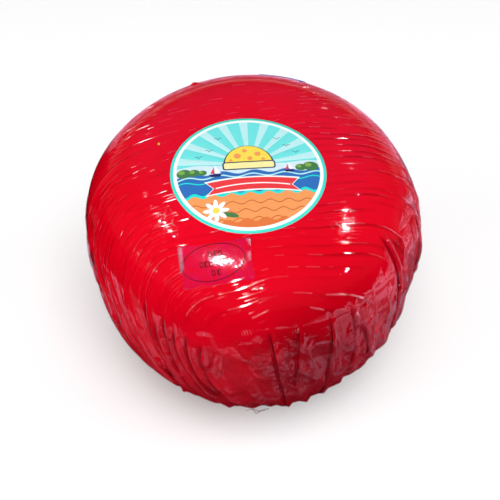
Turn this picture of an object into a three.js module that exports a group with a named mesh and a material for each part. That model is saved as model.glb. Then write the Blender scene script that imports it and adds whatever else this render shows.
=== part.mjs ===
// A ball of red-waxed Edam cheese, wrapped tight in clear film that is gathered
// into pleats below the shoulder, with a round label on its crown, a clear
// sticker on its front shoulder and a plain label high on its back.
// Millimetres, +Z up, -Y towards the front. The ball rests on a flat foot at z = 0.

import * as THREE from 'three';

// The ball: a circle seen from above, and two flattened caps seen from the side.
const BALL_RADIUS = 75;
const CROWN_HEIGHT = 61;
const BELLY_DEPTH = 61;
const CROWN_FULLNESS = 3.4;
const BELLY_FULLNESS = 2.6;
const FOOT_RADIUS = 27;

// The widest points lie evenly about the origin when the ball's own axis stands here.
const AXIS_X = 0.893;
const AXIS_Y = -0.269;

// Where the ball is out of round: a place on it, how far it spreads, and how far
// the surface stands out (or, below zero, in) at its middle.
const SWELLS = [
  { azimuth: 15, latitude: 30, spread: 22, height: -1.5 },
  { azimuth: 95, latitude: 42, spread: 22, height: 0.8 },
  { azimuth: -178, latitude: 22, spread: 20, height: 0.9 },
  { azimuth: -150, latitude: -8, spread: 24, height: -1.5 },
  { azimuth: -125, latitude: -24, spread: 18, height: -2.0 },
  { azimuth: -52, latitude: -24, spread: 14, height: -0.8 },
  { azimuth: -22, latitude: -2, spread: 16, height: -1.5 },
  { azimuth: -9, latitude: 19, spread: 12, height: 1.2 },
];

// The pleats of the film. They run down the sides, leaning as they go, and each is
// a fold with a sharp crest, a valley close beside it and a slack panel.
const PLEAT_COUNT = 40;
const PLEAT_HEIGHT = 1.3;
const PLEAT_SPACING_JITTER = 0.5;
const PLEAT_LEAN = 0.22;
const LEAN_SWING = 0.26;
const MOST_LEAN_AT = -145;
const PLEAT_TOP = 27;
const PLEAT_FULL = 6;
const PLEAT_FADE = -38;
const PLEAT_END = -57;
const VALLEY_SHARE = 0.28;
const PANEL_SHARE = 0.64;
const VALLEY_LEVEL = -0.7;
const PANEL_LEVELS = [-0.45, 0.35];
const KINK_STEP = 11;
const KINK_RANGE = [0.35, 1.25];
const TALL_PLEATS = [-137, -121, -86, -67, -52, -38, 12, 64, 118, 171];
const TALL_FACTOR = 1.7;

// Rows of points: the crown's are wide apart, and the pleats' are close.
const CROWN_ROWS = [84, 76, 68, 60, 52, 45, 38, 32];
const PLEAT_ROW_STEP = 3.5;

// The round label on the crown, the clear sticker and the label on the back.
const LABEL = { azimuth: -101.6, latitude: 75.7, radius: 31.6, rings: 6, sectors: 48 };
const STICKER = { azimuth: -103.8, latitude: 41.2, width: 28.5, height: 16.5, turn: 21, columns: 12, rows: 7 };
const BACK_LABEL = { azimuth: 79, latitude: 30, width: 22, height: 28, turn: -6, columns: 8, rows: 10 };
const PAPER_THICKNESS = 0.4;
const PAPER_GAP = 0.35;

const FINISHES = {
  wrapped_cheese: { color: 0xe01428, roughness: 0.18, metalness: 0 },
  label: { color: 0x5cd8cf, roughness: 0.5, metalness: 0 },
  clear_sticker: { color: 0xe8324a, roughness: 0.25, metalness: 0 },
  back_label: { color: 0x2c46b8, roughness: 0.5, metalness: 0 },
};

const { degToRad, radToDeg, clamp, lerp, smoothstep } = THREE.MathUtils;

// A fixed draw between 0 and 1 for a pair of whole numbers.
function draw(index, stream) {
  const wave = Math.sin(index * 12.9898 + stream * 78.233) * 43758.5453;
  return wave - Math.floor(wave);
}

function direction(azimuth, latitude) {
  const a = degToRad(azimuth);
  const b = degToRad(latitude);
  return new THREE.Vector3(Math.cos(b) * Math.cos(a), Math.cos(b) * Math.sin(a), Math.sin(b));
}

// The distance from the ball's centre to a cap of the given fullness.
function profileRadius(latitude) {
  const above = latitude >= 0;
  const fullness = above ? CROWN_FULLNESS : BELLY_FULLNESS;
  const reach = above ? CROWN_HEIGHT : BELLY_DEPTH;
  const b = degToRad(Math.abs(latitude));
  const across = (Math.cos(b) / BALL_RADIUS) ** fullness;
  const upright = (Math.sin(b) / reach) ** fullness;
  return (across + upright) ** (-1 / fullness);
}

function swellHeight(toward) {
  let height = 0;
  for (const swell of SWELLS) {
    const middle = direction(swell.azimuth, swell.latitude);
    const away = radToDeg(Math.acos(clamp(toward.dot(middle), -1, 1)));
    height += swell.height * Math.exp(-((away / swell.spread) ** 2));
  }
  return height;
}

// The azimuths of the crests, evenly spaced but for a jitter. The crest nearest to
// each tall pleat's azimuth stands exactly there.
function crestAzimuths() {
  const gap = 360 / PLEAT_COUNT;
  const crests = [];
  for (let j = 0; j < PLEAT_COUNT; j += 1) {
    const jitter = PLEAT_SPACING_JITTER * (draw(j, 1) - 0.5);
    crests.push({ azimuth: -180 + gap * (j + 0.5 + jitter), factor: 0.6 + 0.6 * draw(j, 2) });
  }
  for (const azimuth of TALL_PLEATS) {
    const nearest = clamp(Math.floor((azimuth + 180) / gap), 0, PLEAT_COUNT - 1);
    crests[nearest] = { azimuth, factor: TALL_FACTOR };
  }
  return crests;
}

// The upright lines of points: each pleat's crest, valley and panel.
function pleatColumns() {
  const crests = crestAzimuths();
  const columns = [];
  crests.forEach((crest, j) => {
    const last = j === crests.length - 1;
    const next = last ? crests[0].azimuth + 360 : crests[j + 1].azimuth;
    const panel = lerp(PANEL_LEVELS[0], PANEL_LEVELS[1], draw(j, 3));
    columns.push({ azimuth: crest.azimuth, level: crest.factor });
    columns.push({ azimuth: lerp(crest.azimuth, next, VALLEY_SHARE), level: VALLEY_LEVEL });
    columns.push({ azimuth: lerp(crest.azimuth, next, PANEL_SHARE), level: panel });
  });
  return columns;
}

// How far a column is bent in or out at a latitude: straight between its kinks.
function kink(column, latitude) {
  const place = (90 - latitude) / KINK_STEP;
  const knot = Math.floor(place);
  const from = draw(column, 10 + knot);
  const to = draw(column, 11 + knot);
  return lerp(KINK_RANGE[0], KINK_RANGE[1], lerp(from, to, place - knot));
}

function pleatStrength(latitude) {
  const start = 1 - smoothstep(latitude, PLEAT_FULL, PLEAT_TOP);
  const end = smoothstep(latitude, PLEAT_END, PLEAT_FADE);
  return start * end;
}

function pleatHeight(columns, index, latitude) {
  return PLEAT_HEIGHT * pleatStrength(latitude) * columns[index].level * kink(index, latitude);
}

// How far round a pleat has gone by a latitude below its top.
function leanedAzimuth(azimuth, latitude) {
  const slope = PLEAT_LEAN + LEAN_SWING * Math.cos(degToRad(azimuth - MOST_LEAN_AT));
  return azimuth + slope * Math.max(0, PLEAT_TOP - latitude);
}

// The film's smooth form, without pleats.
function smoothRadius(toward) {
  const latitude = radToDeg(Math.asin(clamp(toward.z, -1, 1)));
  return profileRadius(latitude) + swellHeight(toward);
}

// The depth of the flat foot under the widest level.
function footDepth() {
  const across = (FOOT_RADIUS / BALL_RADIUS) ** BELLY_FULLNESS;
  return BELLY_DEPTH * (1 - across) ** (1 / BELLY_FULLNESS);
}

const CENTRE = new THREE.Vector3(AXIS_X, AXIS_Y, footDepth());

// Joins rows of equal length into bands of triangles, closed all the way round.
function bandTriangles(rowCount, columnCount) {
  const triangles = [];
  for (let row = 0; row < rowCount - 1; row += 1) {
    for (let column = 0; column < columnCount; column += 1) {
      const next = (column + 1) % columnCount;
      const upper = row * columnCount;
      const lower = upper + columnCount;
      triangles.push(upper + column, lower + column, upper + next);
      triangles.push(upper + next, lower + column, lower + next);
    }
  }
  return triangles;
}

// Closes a round hole with triangles from its middle point.
function fanTriangles(middle, start, count, up) {
  const triangles = [];
  for (let column = 0; column < count; column += 1) {
    const from = start + column;
    const to = start + ((column + 1) % count);
    triangles.push(middle, up ? from : to, up ? to : from);
  }
  return triangles;
}

function geometryOf(points, triangles) {
  const geometry = new THREE.BufferGeometry();
  geometry.setAttribute('position', new THREE.Float32BufferAttribute(points.flatMap((p) => p.toArray()), 3));
  geometry.setIndex(triangles);
  geometry.computeVertexNormals();
  return geometry;
}

function meshOf(name, geometry) {
  const mesh = new THREE.Mesh(geometry, new THREE.MeshStandardMaterial(FINISHES[name]));
  mesh.name = name;
  return mesh;
}

// The latitudes of the rows, from the crown down to just above the foot.
function rowLatitudes() {
  const rows = [...CROWN_ROWS];
  for (let latitude = PLEAT_TOP; latitude >= PLEAT_END; latitude -= PLEAT_ROW_STEP) {
    rows.push(latitude);
  }
  return rows;
}

// The wrapped ball: the cheese and its film as one closed body.
function wrappedCheese() {
  const columns = pleatColumns();
  const rows = rowLatitudes();
  const points = [];
  for (const latitude of rows) {
    columns.forEach((column, index) => {
      const toward = direction(leanedAzimuth(column.azimuth, latitude), latitude);
      const radius = smoothRadius(toward) + pleatHeight(columns, index, latitude);
      points.push(toward.multiplyScalar(radius).add(CENTRE));
    });
  }
  for (const column of columns) {
    const rim = direction(leanedAzimuth(column.azimuth, PLEAT_END), 0).multiplyScalar(FOOT_RADIUS);
    points.push(rim.add(CENTRE).setZ(0));
  }
  const count = columns.length;
  const rimStart = rows.length * count;
  const top = new THREE.Vector3(0, 0, smoothRadius(direction(0, 90))).add(CENTRE);
  points.push(top, new THREE.Vector3(AXIS_X, AXIS_Y, 0));
  const triangles = [
    ...bandTriangles(rows.length + 1, count),
    ...fanTriangles(rimStart + count, 0, count, true),
    ...fanTriangles(rimStart + count + 1, rimStart, count, false),
  ];
  return meshOf('wrapped_cheese', geometryOf(points, triangles));
}

// The film's outward direction, from points a little to each side.
function surfaceNormal(azimuth, latitude) {
  const step = 0.5;
  const at = (a, b) => {
    const toward = direction(a, b);
    return toward.clone().multiplyScalar(smoothRadius(toward));
  };
  const across = at(azimuth + step, latitude).sub(at(azimuth - step, latitude));
  const upward = at(azimuth, latitude + step).sub(at(azimuth, latitude - step));
  return across.cross(upward).normalize();
}

// A sheet laid on the ball: its middle, the way it faces, and its two directions.
function sheetFrame({ azimuth, latitude, turn = 0 }) {
  const toward = direction(azimuth, latitude);
  const middle = toward.clone().multiplyScalar(smoothRadius(toward));
  const normal = surfaceNormal(azimuth, latitude);
  const right = new THREE.Vector3(0, 0, 1).cross(normal).normalize();
  right.applyAxisAngle(normal, degToRad(turn));
  const up = normal.clone().cross(right);
  return { middle, normal, right, up };
}

// Moves a point of the sheet's plane along the sheet's facing, to a height over the film.
function layOnFilm(frame, u, v, height) {
  const point = frame.middle.clone().addScaledVector(frame.right, u).addScaledVector(frame.up, v);
  for (let pass = 0; pass < 6; pass += 1) {
    const toward = point.clone().normalize();
    const excess = point.length() - smoothRadius(toward) - height;
    point.addScaledVector(frame.normal, -excess / toward.dot(frame.normal));
  }
  return point.add(CENTRE);
}

// Closes a sheet: a lower and an upper face with the same triangles, and an edge all round.
function closedSheet(name, frame, flatPoints, faces, border) {
  const lower = flatPoints.map(([u, v]) => layOnFilm(frame, u, v, PAPER_GAP));
  const upper = flatPoints.map(([u, v]) => layOnFilm(frame, u, v, PAPER_GAP + PAPER_THICKNESS));
  const shift = flatPoints.length;
  const triangles = [];
  for (const [a, b, c] of faces) {
    triangles.push(a + shift, b + shift, c + shift, a, c, b);
  }
  border.forEach((from, i) => {
    const to = border[(i + 1) % border.length];
    triangles.push(from, to, to + shift, from, to + shift, from + shift);
  });
  return meshOf(name, geometryOf([...lower, ...upper], triangles));
}

function roundLabel() {
  const { radius, rings, sectors } = LABEL;
  const flatPoints = [[0, 0]];
  for (let ring = 1; ring <= rings; ring += 1) {
    for (let sector = 0; sector < sectors; sector += 1) {
      const angle = (2 * Math.PI * sector) / sectors;
      const reach = (radius * ring) / rings;
      flatPoints.push([reach * Math.cos(angle), reach * Math.sin(angle)]);
    }
  }
  const place = (ring, sector) => 1 + (ring - 1) * sectors + (sector % sectors);
  const faces = [];
  for (let sector = 0; sector < sectors; sector += 1) {
    faces.push([0, place(1, sector), place(1, sector + 1)]);
    for (let ring = 1; ring < rings; ring += 1) {
      const corner = place(ring + 1, sector + 1);
      faces.push([place(ring, sector), place(ring + 1, sector), corner]);
      faces.push([place(ring, sector), corner, place(ring, sector + 1)]);
    }
  }
  const border = Array.from({ length: sectors }, (_, sector) => place(rings, sector));
  return closedSheet('label', sheetFrame(LABEL), flatPoints, faces, border);
}

function rectangularSheet(name, sheet) {
  const { width, height, columns, rows } = sheet;
  const place = (row, column) => row * (columns + 1) + column;
  const flatPoints = [];
  for (let row = 0; row <= rows; row += 1) {
    for (let column = 0; column <= columns; column += 1) {
      flatPoints.push([width * (column / columns - 0.5), height * (row / rows - 0.5)]);
    }
  }
  const faces = [];
  for (let row = 0; row < rows; row += 1) {
    for (let column = 0; column < columns; column += 1) {
      const corner = place(row + 1, column + 1);
      faces.push([place(row, column), place(row, column + 1), corner]);
      faces.push([place(row, column), corner, place(row + 1, column)]);
    }
  }
  const border = [
    ...Array.from({ length: columns }, (_, i) => place(0, i)),
    ...Array.from({ length: rows }, (_, i) => place(i, columns)),
    ...Array.from({ length: columns }, (_, i) => place(rows, columns - i)),
    ...Array.from({ length: rows }, (_, i) => place(rows - i, 0)),
  ];
  return closedSheet(name, sheetFrame(sheet), flatPoints, faces, border);
}

const cheeseBall = new THREE.Group();
cheeseBall.add(
  wrappedCheese(),
  roundLabel(),
  rectangularSheet('clear_sticker', STICKER),
  rectangularSheet('back_label', BACK_LABEL),
);

export default cheeseBall;
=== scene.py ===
"""The looks of a film-wrapped ball of Edam cheese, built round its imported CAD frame."""

import math
from collections import namedtuple
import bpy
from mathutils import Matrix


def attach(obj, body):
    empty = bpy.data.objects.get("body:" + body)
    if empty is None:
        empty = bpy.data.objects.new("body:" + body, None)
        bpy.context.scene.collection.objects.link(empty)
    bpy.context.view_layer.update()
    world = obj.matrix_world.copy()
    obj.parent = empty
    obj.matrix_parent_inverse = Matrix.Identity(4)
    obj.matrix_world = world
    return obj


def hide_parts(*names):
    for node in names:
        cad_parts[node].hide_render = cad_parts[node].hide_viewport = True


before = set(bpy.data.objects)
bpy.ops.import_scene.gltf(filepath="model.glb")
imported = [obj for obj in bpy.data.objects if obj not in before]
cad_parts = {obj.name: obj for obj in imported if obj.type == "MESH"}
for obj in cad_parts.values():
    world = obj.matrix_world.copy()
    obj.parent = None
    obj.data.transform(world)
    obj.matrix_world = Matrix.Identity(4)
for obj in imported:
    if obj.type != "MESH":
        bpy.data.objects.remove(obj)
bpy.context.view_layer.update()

from types import SimpleNamespace

import bpy
import numpy as np
from mathutils import Matrix, Vector
from mathutils.geometry import delaunay_2d_cdt

# The ball's form is worked out in millimetres and degrees, as the solids are, and
# each mesh is scaled to metres when it is made.
MM = 0.001

# The ball: a circle seen from above, and two flattened caps seen from the side.
BALL_RADIUS = 75.0
CROWN_HEIGHT = 61.0
BELLY_DEPTH = 61.0
CROWN_FULLNESS = 3.4
BELLY_FULLNESS = 2.6
FOOT_RADIUS = 27.0
AXIS = (0.893, -0.269)
FOOT_DEPTH = BELLY_DEPTH * (1 - (FOOT_RADIUS / BALL_RADIUS) ** BELLY_FULLNESS) ** (1 / BELLY_FULLNESS)
CENTRE = np.array([AXIS[0], AXIS[1], FOOT_DEPTH])

# Where the ball is out of round: azimuth, latitude, spread and height.
SWELLS = [
    (15, 30, 22, -1.5),
    (95, 42, 22, 0.8),
    (-178, 22, 20, 0.9),
    (-150, -8, 24, -1.5),
    (-125, -24, 18, -2.0),
    (-52, -24, 14, -0.8),
    (-22, -2, 16, -1.5),
    (-9, 19, 12, 1.2),
]

# The pleats of the film, as in the solid.
PLEAT_COUNT = 40
PLEAT_HEIGHT = 1.3
PLEAT_SPACING_JITTER = 0.5
PLEAT_LEAN = 0.22
LEAN_SWING = 0.26
MOST_LEAN_AT = -145
PLEAT_TOP = 27
PLEAT_FULL = 6
PLEAT_FADE = -38
PLEAT_END = -57
VALLEY_SHARE = 0.28
PANEL_SHARE = 0.64
VALLEY_LEVEL = -0.7
PANEL_LEVELS = (-0.45, 0.35)
KINK_STEP = 11
KINK_RANGE = (0.35, 1.25)
TALL_PLEATS = (-137, -121, -86, -67, -52, -38, 12, 64, 118, 171)
TALL_FACTOR = 1.7

# The sheets on the film: place, size and turn.
LABEL = {"azimuth": -101.6, "latitude": 75.7, "turn": 18.9, "radius": 31.6}
STICKER = {"azimuth": -103.8, "latitude": 41.2, "turn": 21, "width": 28.5, "height": 16.5}
BACK_LABEL = {"azimuth": 79, "latitude": 30, "turn": -6, "width": 22, "height": 28}

# How far each kind of sheet lies over the film, and how thick it is.
PAPER = {"low": 0.12, "thickness": 0.2}
FOIL = {"low": 0.1, "thickness": 0.12}

# The film's hanging tip under the front, and a fleck caught high on the left.
TIP = {"azimuth": -86, "latitude": -26, "spread": 4.4, "drop": 3.4, "reach": 1.6, "thickness": 0.25}
FLECK = {"azimuth": 179, "latitude": 55, "radius": 0.5}

# The camera, looking down on the front of the ball.
CAMERA_ELEVATION = 48.16
CAMERA_DISTANCE = 400.0
CAMERA_ROLL = 2.25
CAMERA_AIM = (-1.54, -3.32)
CAMERA_LENS = 61.42


# ---------------------------------------------------------------- the ball's form


def draw(index, stream):
    """A fixed draw between 0 and 1 for each pair of whole numbers."""
    wave = np.sin(np.asarray(index) * 12.9898 + np.asarray(stream) * 78.233) * 43758.5453
    return wave - np.floor(wave)


def lerp(a, b, share):
    return a + (b - a) * share


def smoothstep(value, low, high):
    share = np.clip((value - low) / (high - low), 0, 1)
    return share * share * (3 - 2 * share)


def tent(distance, half_width):
    """A straight-sided ridge, 1 on its crest and 0 from half_width away."""
    return np.clip(1 - np.abs(distance) / half_width, 0, 1)


def swell(distance, half_width):
    """A rounded ridge, 1 on its crest and 0 from half_width away."""
    return np.clip(1 - (distance / half_width) ** 2, 0, 1) ** 2


def direction(azimuth, latitude):
    a, b = np.radians(azimuth), np.radians(latitude)
    a, b = np.broadcast_arrays(a, b)
    return np.stack([np.cos(b) * np.cos(a), np.cos(b) * np.sin(a), np.sin(b)], -1)


def unit(vectors):
    return vectors / np.linalg.norm(vectors, axis=-1, keepdims=True)


def azimuth_of(points):
    return np.degrees(np.arctan2(points[..., 1], points[..., 0]))


def latitude_of(toward):
    return np.degrees(np.arcsin(np.clip(toward[..., 2], -1, 1)))


def degrees_from(toward, azimuth, latitude):
    return np.degrees(np.arccos(np.clip(toward @ direction(azimuth, latitude), -1, 1)))


def turn_from(azimuth, middle):
    return (azimuth - middle + 180) % 360 - 180


def profile_radius(latitude):
    fullness = np.where(latitude >= 0, CROWN_FULLNESS, BELLY_FULLNESS)
    reach = np.where(latitude >= 0, CROWN_HEIGHT, BELLY_DEPTH)
    b = np.radians(np.abs(latitude))
    across = (np.cos(b) / BALL_RADIUS) ** fullness
    upright = (np.sin(b) / reach) ** fullness
    return (across + upright) ** (-1 / fullness)


def smooth_radius(toward):
    """The film's form without pleats, along unit vectors from the ball's centre."""
    radius = profile_radius(latitude_of(toward))
    for azimuth, latitude, spread, height in SWELLS:
        radius = radius + height * np.exp(-((degrees_from(toward, azimuth, latitude) / spread) ** 2))
    return radius


def pleat_columns():
    """The azimuth and level of each pleat's crest, valley and panel, all the way round."""
    gap = 360 / PLEAT_COUNT
    j = np.arange(PLEAT_COUNT)
    azimuth = -180 + gap * (j + 0.5 + PLEAT_SPACING_JITTER * (draw(j, 1) - 0.5))
    factor = 0.6 + 0.6 * draw(j, 2)
    for tall in TALL_PLEATS:
        nearest = int((tall + 180) // gap)
        azimuth[nearest], factor[nearest] = tall, TALL_FACTOR
    following = np.append(azimuth[1:], azimuth[0] + 360)
    panel = lerp(*PANEL_LEVELS, draw(j, 3))
    places = [azimuth, lerp(azimuth, following, VALLEY_SHARE), lerp(azimuth, following, PANEL_SHARE)]
    levels = [factor, np.full(PLEAT_COUNT, VALLEY_LEVEL), panel]
    return np.stack(places, -1).ravel(), np.stack(levels, -1).ravel()


COLUMN_AZIMUTHS, COLUMN_LEVELS = pleat_columns()


def kink(column, latitude):
    place = (90 - latitude) / KINK_STEP
    knot = np.floor(place)
    bend = lerp(draw(column, 10 + knot), draw(column, 11 + knot), place - knot)
    return lerp(*KINK_RANGE, bend)


def pleat_strength(latitude):
    start = 1 - smoothstep(latitude, PLEAT_FULL, PLEAT_TOP)
    return start * smoothstep(latitude, PLEAT_END, PLEAT_FADE)


def leaned_azimuth(azimuth, latitude):
    slope = PLEAT_LEAN + LEAN_SWING * np.cos(np.radians(azimuth - MOST_LEAN_AT))
    return azimuth + slope * np.maximum(0, PLEAT_TOP - latitude)


# ---------------------------------------------------------------- the film's relief

CREST_HALF_WIDTH = 0.9
CREST_HEIGHT = 0.35
BROAD_FACETS = {"around": 46, "down": 14, "height": 1.1}
SMALL_FACETS = {"around": 110, "down": 6, "height": 0.35}
RIDGE_WAY = (math.cos(math.radians(17)), math.sin(math.radians(17)), 0)
RIDGE_COUNT = 60
RIDGE_ACROSS = (-90, 78)
RIDGE_START = (-80, 45)
RIDGE_LENGTH = (25, 95)
RIDGE_RISE = 14
RIDGE_FALL = 18
RIDGE_HEIGHT = (0.01, 0.06)
RIDGE_HALF_WIDTH = (2.0, 3.5)
TURNED = {"azimuth": -138, "spread": 52, "across": -28.4, "shift": 0.6}
WAX_FOLLOWS = 0.94
WAX_DEPTH = 0.22
WAX_RAISED = 0.15

# Where the camera looks, the pleats are lower and each long fold has its own place:
# azimuth and latitude at its start, middle and end, height, and how dark the painted
# shade in and beside it is. Below 0 it is a pale ridge instead.
FRONT = {"azimuth": -88, "spread": 62, "pleats_kept": 0.5, "closer": 0.35}
FOLDS = [
    ((-176, 46), (-168, 30), (-160, 8), 0.5, -0.6),
    ((-170, 44), (-162, 28), (-154, 6), 0.5, 0.5),
    ((-163, 36), (-156, 24), (-149, 8), 0.5, -0.7),
    ((-156, 30), (-149, 18), (-141, 4), 0.5, 0.5),
    ((-146, 25), (-139, 12), (-131, -4), 0.5, -0.5),
    ((-157, 12), (-147, -2), (-140, -5), 0.6, 0.5),
    ((-136, 21), (-129, -1), (-119, -17), 1.0, 1.3),
    ((-129, 0), (-120, -8), (-115, -22), 1.0, 4.0),
    ((-126, 26), (-122, 6), (-115, -14), 0.8, 1.0),
    ((-121, 19), (-119, 4), (-115, -4), 0.5, 0.7),
    ((-118, 23), (-115.5, 3), (-104, -24), 1.0, 1.3),
    ((-110, -6), (-104, -14), (-98, -27), 1.0, 4.0),
    ((-114, 19), (-112, 2), (-103, -14), 0.7, 1.1),
    ((-109.5, 19), (-109, 3), (-101, -13), 0.8, 1.1),
    ((-105, 17), (-104, 0), (-97, -16), 0.8, 0.9),
    ((-100, 16), (-101, 9), (-103, 3), 0.3, 0.5),
    ((-98, 17), (-98, 9), (-99, 1), 0.5, -0.7),
    ((-85, 26), (-82, 9), (-76, -24), 0.6, 0.8),
    ((-76, 27), (-75, 14), (-75, -4), 0.7, 0.6),
    ((-65, 27), (-64, 12), (-63, -21), 0.6, 0.65),
    ((-58, 28), (-54.5, 9), (-54, -10), 0.7, 0.5),
    ((-54, 18), (-50.5, 9), (-47, -5), 0.6, 0.8),
    ((-48, 27), (-46, 13), (-44, -8), 0.8, -0.8),
    ((-41.5, 23), (-38.5, 9), (-36, -10), 0.8, -0.8),
    ((-37, 42), (-35.5, 27), (-31, -12), 1.0, 0.6),
    ((-29.5, 28), (-28.5, 19), (-24, 7), 0.7, -0.9),
    ((-33, 0), (-29, -10), (-24, -20), 0.6, 0.5),
    ((-12, 34), (-14, 20), (-12, 2), 0.8, 0.6),
]
FOLD_REACH = 3.0
FOLD_FADE = 4.0
FOLD_START = 9.0
GROOVE_HALF_WIDTH = 0.75
LIP_OFFSET = 1.7
LIP_HALF_WIDTH = 1.5
RIDGE_FOLD_HALF_WIDTH = 0.9

# Small points of film that stand up from the far edge of the crown.
NUBS = [(121, 42, 2.2, 1.3), (143, 41, 2.6, 0.6)]


def facets(azimuth, latitude, form, stream):
    """Flat triangular panels that meet in creases, from -1 to 1, closed all the way round."""
    turn = np.radians(azimuth)
    a = azimuth / 360 * form["around"] + 0.45 * np.sin(latitude * 0.11 + 2 * turn + stream)
    b = latitude / form["down"] + 0.8 * np.sin(3 * turn + stream) + 0.4 * np.sin(8 * turn)
    i, j = np.floor(a), np.floor(b)
    u, v = a - i, b - j

    def height(di, dj):
        return draw((i + di) % form["around"] + 131 * (j + dj), stream)

    lower = height(0, 0) + u * (height(1, 0) - height(0, 0)) + v * (height(0, 1) - height(0, 0))
    far = height(1, 1)
    upper = far + (1 - u) * (height(0, 1) - far) + (1 - v) * (height(1, 0) - far)
    return 2 * np.where(u + v < 1, lower, upper) - 1


def crest_folds(azimuth, latitude):
    """The film doubled over along each pleat's crest, a thin wall of varying height."""
    height = np.zeros(np.broadcast(azimuth, latitude).shape)
    reach = np.radians(BALL_RADIUS * np.cos(np.radians(latitude)))
    for j, crest in enumerate(COLUMN_AZIMUTHS[::3]):
        share = kink(200 + j, latitude) * COLUMN_LEVELS[3 * j]
        height += share * tent(turn_from(azimuth, crest) * reach, CREST_HALF_WIDTH)
    return CREST_HEIGHT * pleat_strength(latitude) * height


def fold_offset(azimuth, latitude, fold):
    """Millimetres beside a fold's path, and how present the fold is at that latitude."""
    (start, top), (middle, level), (end, bottom) = fold[:3]
    curve = np.polyfit((top, level, bottom), (start, middle, end), 2)
    slope = np.polyval(np.polyder(curve), latitude) * np.cos(np.radians(latitude))
    beside = turn_from(azimuth, np.polyval(curve, latitude)) * np.cos(np.radians(latitude))
    offset = math.radians(BALL_RADIUS) * beside / np.sqrt(1 + slope * slope)
    begun = 1 - smoothstep(latitude, top - FOLD_START, top + 1)
    return offset, smoothstep(latitude, bottom - FOLD_FADE, bottom) * begun


def nearest_fold(toward):
    """For unit vectors: millimetres beside the nearest fold, its nearness and how dark its painted shade is.
    """
    azimuth, latitude = azimuth_of(toward), latitude_of(toward)
    nearest = np.full(azimuth.shape, FOLD_REACH)
    nearness, darkness = np.zeros(azimuth.shape), np.zeros(azimuth.shape)
    for fold in FOLDS:
        offset, present = fold_offset(azimuth, latitude, fold)
        closer = (np.abs(offset) < np.abs(nearest)) & (present > 0)
        nearest = np.where(closer, offset, nearest)
        nearness = np.where(closer, present * (1 - np.abs(offset) / FOLD_REACH), nearness)
        darkness = np.where(closer, fold[4], darkness)
    return nearest, nearness, darkness


def fold_relief(toward):
    azimuth, latitude = azimuth_of(toward), latitude_of(toward)
    relief = np.zeros(azimuth.shape)
    for fold in FOLDS:
        offset, present = fold_offset(azimuth, latitude, fold)
        if fold[4] > 0:
            shape = swell(offset - LIP_OFFSET, LIP_HALF_WIDTH) - 0.8 * tent(offset, GROOVE_HALF_WIDTH)
        else:
            shape = tent(offset, RIDGE_FOLD_HALF_WIDTH)
        relief += fold[3] * present * shape
    return relief


def nub_relief(toward):
    relief = np.zeros(toward.shape[:-1])
    for azimuth, latitude, spread, height in NUBS:
        relief += height * tent(degrees_from(toward, azimuth, latitude), spread)
    return relief


def looseness(azimuth, latitude):
    """How much the film is crumpled: low down, less at the front left, higher up at the right flank."""
    calm = swell(turn_from(azimuth, -138), 42)
    flank = swell(turn_from(azimuth, -14), 34) * (1 - smoothstep(latitude, 33, 41))
    return np.maximum(pleat_strength(latitude) * (1 - 0.7 * calm), flank * smoothstep(latitude, -30, 0))


# Where the taut film has bundles of fine lines, and where it is creased: azimuth, latitude and spread.
CRINKLED = [(-92, 34, 11), (-112, 31, 12), (-130, 30, 12), (-133, 45, 8), (-47, 46, 8)]
CREASED = [(-131, 46, 5), (-48, 47, 4)]


def inside_patches(toward, patches):
    """1 in the middle of round patches of the film and 0 outside."""
    share = np.zeros(toward.shape[:-1])
    for azimuth, latitude, spread in patches:
        away = degrees_from(toward, azimuth, latitude)
        share = np.maximum(share, 1 - smoothstep(away, 0.4 * spread, spread))
    return share


def away_from_front(azimuth):
    """1 behind and at the sides, falling to 0 in the front where each fold has its own place."""
    return smoothstep(np.abs(turn_from(azimuth, FRONT["azimuth"])) / FRONT["spread"], 0.8, 1.15)


def turned_share(azimuth, latitude):
    """How far the stretch ridges have turned down into the pleats, as they do at the front left."""
    return swell(turn_from(azimuth, TURNED["azimuth"]), TURNED["spread"]) * (1 - smoothstep(latitude, 20, 48))


def ridge_field(points):
    """Millimetres across and along the film's stretch ridges, which cross the crown side by side."""
    x, y = points[..., 0], points[..., 1]
    across = y * RIDGE_WAY[0] - x * RIDGE_WAY[1]
    along = x * RIDGE_WAY[0] + y * RIDGE_WAY[1]
    azimuth, latitude = azimuth_of(points), latitude_of(unit(points))
    turned = TURNED["across"] - BALL_RADIUS * np.radians(turn_from(azimuth, TURNED["azimuth"]))
    share = turned_share(azimuth, latitude)
    return lerp(across, turned, share), along - TURNED["shift"] * share * latitude


def ridge_direction(points):
    """The way the stretch ridges run, as unit vectors."""
    toward = unit(points)
    downward = unit(toward * toward[..., 2:] - [0, 0, 1] + [1e-6, 0, 0])
    share = turned_share(azimuth_of(points), latitude_of(toward))
    return unit(lerp(np.array(RIDGE_WAY), -downward, share[..., None]))


def pull(points):
    """How strongly the film is drawn: most at the right flank, less at the left, hardly low in front."""
    x, y = points[..., 0], points[..., 1]
    flank = np.maximum(smoothstep(x, 10, 40), 0.6 * smoothstep(-x, 30, 60))
    drawn = lerp(0.35, 1.0, flank) * (1 - 0.5 * smoothstep(y - 0.3 * x, 8, 30))
    return drawn * (1 - 0.8 * smoothstep(-y, 46, 58) * swell(x - 10, 42))


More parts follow.
